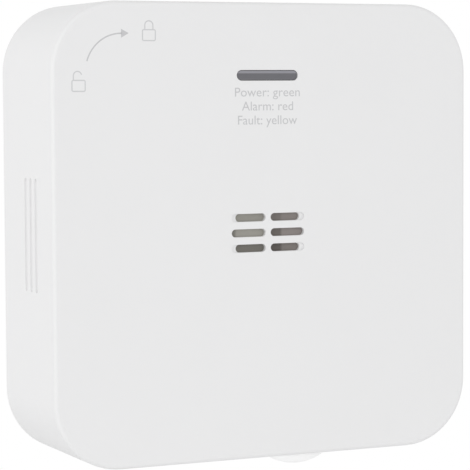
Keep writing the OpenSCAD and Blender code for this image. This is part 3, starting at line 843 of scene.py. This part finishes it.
class DETECTOR_OT_lock_marks(bpy.types.Operator):
    """Prints the open and closed padlocks and the arrow that turns from one to the other"""

    bl_idname = "detector.lock_marks"
    bl_label = "Lock marks"

    def execute(self, context):
        settings = context.scene.detector_print
        line, depth, ink = settings.lock_line, FRONT - settings.ink, settings.ink
        bands = []
        width, height, corner = (size * MM for size in PADLOCK_BOX)
        radius, lift = (size * MM for size in SHACKLE)
        for left, foot, middle, end in PADLOCKS:
            left, foot = left * MM, foot * MM
            box = rounded_box_path(left, foot, width, height, corner)
            bands.append(outline_band(box, line, depth, ink, closed=True))
            centre = (left + middle * MM, foot + height + lift)
            loop = arc_points(centre, radius, 180, end, 18)
            leg_foot = foot + height + line / 2
            left_leg = [(centre[0] - radius, leg_foot)]
            right_leg = [(centre[0] + radius, leg_foot)] if end == 0 else np.empty((0, 2))
            bands.append(outline_band(np.vstack([left_leg, loop, right_leg]), line, depth, ink))
        self.printed(context, "padlocks", bands, "print_pale")
        arc_centre = (ARC_TOP[0] * MM, ARC_TOP[1] * MM - settings.arc_radius)
        arc = arc_points(arc_centre, settings.arc_radius, 163.5, 90, 30)
        head = np.array([(x * MM, y, z * MM) for y in (depth, depth + ink) for x, z in ARROW_HEAD])
        head_faces = [[0, 1, 2, 3], [4, 7, 6, 5], [0, 4, 5, 1], [1, 5, 6, 2], [2, 6, 7, 3], [3, 7, 4, 0]]
        arrow = [outline_band(arc, settings.line, depth, ink), (head, head_faces)]
        self.printed(context, "turn_arrow", arrow, "print_grey")
        return {"FINISHED"}

    def printed(self, context, name, shapes, finish):
        """One printed piece on the front, made from several flat shapes."""
        piece = make_piece(name, *join_shapes(shapes), weld=1e-7)
        piece.data.shade_flat()
        piece.data.materials.append(finish_for(finish))
        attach(piece, "housing")


class DETECTOR_OT_inside(bpy.types.Operator):
    """Gives the board, its parts, the sensor and the sounder their finishes and rounded edges"""

    bl_idname = "detector.inside"
    bl_label = "Board, sensor and sounder"

    def execute(self, context):
        for node, edge in INNER_ROUNDING.items():
            settle(softened(node, edge * MM, 2), node, finish_for(SLOTS[node]))
        for node in FINISH_ONLY:
            for slot in frame["nodes"][node].material_slots:
                slot.material = finish_for(SLOTS[node])
        return {"FINISHED"}


class DETECTOR_OT_cells(bpy.types.Operator):
    """Builds the two cells with their sleeves, caps and bases, and the tapered springs"""

    bl_idname = "detector.cells"
    bl_label = "Cells and springs"

    def execute(self, context):
        for node, way in (("aa_cell_upper", 1), ("aa_cell_lower", -1)):
            low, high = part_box(node)
            radius, length = (high.z - low.z) / 2 / MM, (high.x - low.x) / MM
            middle = (low + high) / 2
            start = (low.x if way > 0 else high.x, middle.y, middle.z)
            shoulder, lip, fold = length - CAP_HEIGHT, radius - SLEEVE_LIP, radius - SLEEVE_FOLD
            edge = lip - 0.1
            inner = [(0, 0.3), (lip, 0.3)]
            sleeve = rounded_profile(
                [(lip, 0.12), (fold, 0), (radius, 0), (radius, shoulder), (fold, shoulder), (lip, shoulder - 0.1)],
                0.45,
            )
            closing = [(lip, shoulder - 0.35), (0, shoulder - 0.35)]
            shape = lathe(np.vstack([inner, sleeve, closing]) * MM, start, (way, 0, 0))
            settle(make_piece(node + "_sleeve", *shape), node, finish_for("cell_sleeve"))
            cap = rounded_profile(
                [
                    (0, shoulder - 0.3), (edge, shoulder - 0.3), (edge, shoulder - 0.12),
                    (CAP_RADIUS, shoulder - 0.02), (CAP_RADIUS - 0.05, length - 0.02), (0, length),
                ],
                0.3,
            )
            base = rounded_profile([(0, 0.32), (edge, 0.32), (edge, 0.06), (0, 0.1)], 0.1)
            for name, profile in (("_cap", cap), ("_base", base)):
                piece = make_piece(node + name, *lathe(profile * MM, start, (way, 0, 0), 64))
                settle(piece, node, finish_for("spring_metal"), replace=False)
        low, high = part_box("battery_springs")
        coils = []
        wire, length = SPRING_WIRE * MM, SPRING_LENGTH * MM
        wide, narrow = (size * MM for size in SPRING_RADIUS)
        share = np.linspace(0, 1, 260)
        turn = share * 2 * math.pi * SPRING_TURNS
        rise = np.interp(share, (0, 0.22, 0.82, 1), (wire, wire, length - wire, length - wire))
        radius = np.interp(share, (0, 0.22, 1), (wide, wide, narrow))
        y = (low.y + high.y) / 2 + radius * np.cos(turn)
        for way, end in ((1, low.x), (-1, high.x)):
            z = way * CELL_ROW * MM + radius * np.sin(turn)
            path = np.stack([end + way * rise, y, z], axis=1)
            coils.append(swept_tube(path, wire, 10))
        settle(make_piece("spring_coils", *join_shapes(coils)), "battery_springs", finish_for("spring_metal"))
        return {"FINISHED"}


def area_light(name, place, aim, size, power):
    """A square softbox at a place, turned to face its aim."""
    light = bpy.data.lights.new(name, "AREA")
    light.size = size
    light.energy = power
    lamp = bpy.data.objects.new(name, light)
    lamp.location = place
    lamp.rotation_euler = (Vector(aim) - Vector(place)).to_track_quat("-Z", "Y").to_euler()
    bpy.context.scene.collection.objects.link(lamp)
    return lamp


class DETECTOR_OT_stage(bpy.types.Operator):
    """Sets up the camera, the pale floor, the white surround, three softboxes and an overhead card"""

    bl_idname = "detector.stage"
    bl_label = "Stage"

    def execute(self, context):
        settings = context.scene.detector_stage
        scene = context.scene
        aim = Vector((settings.aim[0], FRONT, settings.aim[1]))
        level = math.cos(settings.rise)
        ahead = Vector(
            (math.sin(settings.turn) * level, math.cos(settings.turn) * level, -math.sin(settings.rise))
        )
        camera_data = bpy.data.cameras.new("camera")
        camera_data.lens = settings.lens
        camera_data.sensor_width = 36
        camera_data.clip_start = 0.01
        camera_data.clip_end = 50
        camera = bpy.data.objects.new("camera", camera_data)
        turn = ahead.to_track_quat("-Z", "Y").to_matrix().to_4x4() @ Matrix.Rotation(settings.roll, 4, "Z")
        camera.matrix_world = Matrix.Translation(aim - ahead * settings.distance) @ turn
        scene.collection.objects.link(camera)
        scene.camera = camera

        ground = CAD_BOX[0][2] - settings.floor_drop
        reach = settings.floor_reach
        rim = [(0, 0), (reach / 2, 0), (reach, 0), (reach + 0.004, -0.004), (reach + 0.004, -0.02), (0, -0.02)]
        floor = make_piece("floor", *lathe(rim, (0, 0, ground), (0, 0, 1)))
        finish = Finish("floor_paper", Specular_IOR_Level=0.1)
        fibres = finish.noise(800, 3, 0.6)
        shade = tuple(settings.floor_colour)
        finish.set("Base Color", finish.mix(fibres, tint(shade, 0.99), tint(shade, 1.01)))
        finish.set("Roughness", 0.85 + fibres * 0.1)
        floor.data.materials.append(finish.material)

        world = bpy.data.worlds.new("surround")
        world.use_nodes = True
        world.node_tree.nodes["Background"].inputs["Color"].default_value = (1, 1, 1, 1)
        world.node_tree.nodes["Background"].inputs["Strength"].default_value = settings.sky
        scene.world = world
        for name, power, place, light_aim, size in SOFTBOXES:
            area_light(name, place, light_aim, size, getattr(settings, power))
        disc = [(0, 0), (0.75, 0), (0.75, 0.01), (0, 0.01)]
        card = make_piece("overhead_card", *lathe(disc, (0, 0, 1.2), (0, 0, 1)))
        card_finish = Finish("card_paper", Specular_IOR_Level=0.1)
        clouds = card_finish.noise(3, 2)
        card_finish.set("Base Color", card_finish.mix(clouds, (0.62, 0.62, 0.62, 1), (0.68, 0.68, 0.68, 1)))
        card.data.materials.append(card_finish.material)
        card.visible_camera = False
        scene.view_settings.view_transform = "Standard"
        return {"FINISHED"}


class DETECTOR_PT_sidebar(bpy.types.Panel):
    """Lists the detector's operators and their settings"""

    bl_idname = "DETECTOR_PT_sidebar"
    bl_label = "Carbon monoxide detector"
    bl_space_type = "VIEW_3D"
    bl_region_type = "UI"
    bl_category = "Detector"

    def draw(self, context):
        column = self.layout.column()
        for operator in OPERATORS:
            column.operator(operator.bl_idname)
        for group in SETTINGS:
            settings = getattr(context.scene, group)
            for key in settings.__annotations__:
                column.prop(settings, key)


SETTINGS = {
    "detector_cover": DetectorCoverSettings,
    "detector_window": DetectorWindowSettings,
    "detector_button": DetectorButtonSettings,
    "detector_print": DetectorPrintSettings,
    "detector_stage": DetectorStageSettings,
}
OPERATORS = (
    DETECTOR_OT_cover,
    DETECTOR_OT_window,
    DETECTOR_OT_button,
    DETECTOR_OT_legend,
    DETECTOR_OT_lock_marks,
    DETECTOR_OT_inside,
    DETECTOR_OT_cells,
    DETECTOR_OT_stage,
)
CLASSES = tuple(SETTINGS.values()) + OPERATORS + (DETECTOR_PT_sidebar,)


def register():
    for kind in CLASSES:
        bpy.utils.register_class(kind)
    for key, group in SETTINGS.items():
        setattr(bpy.types.Scene, key, PointerProperty(type=group))


def unregister():
    for key in SETTINGS:
        delattr(bpy.types.Scene, key)
    for kind in reversed(CLASSES):
        bpy.utils.unregister_class(kind)


def main():
    register()
    bpy.ops.detector.cover()
    bpy.ops.detector.window()
    bpy.ops.detector.button()
    bpy.ops.detector.legend()
    bpy.ops.detector.lock_marks()
    bpy.ops.detector.inside()
    bpy.ops.detector.cells()
    bpy.ops.detector.stage()


if __name__ == "__main__":
    main()
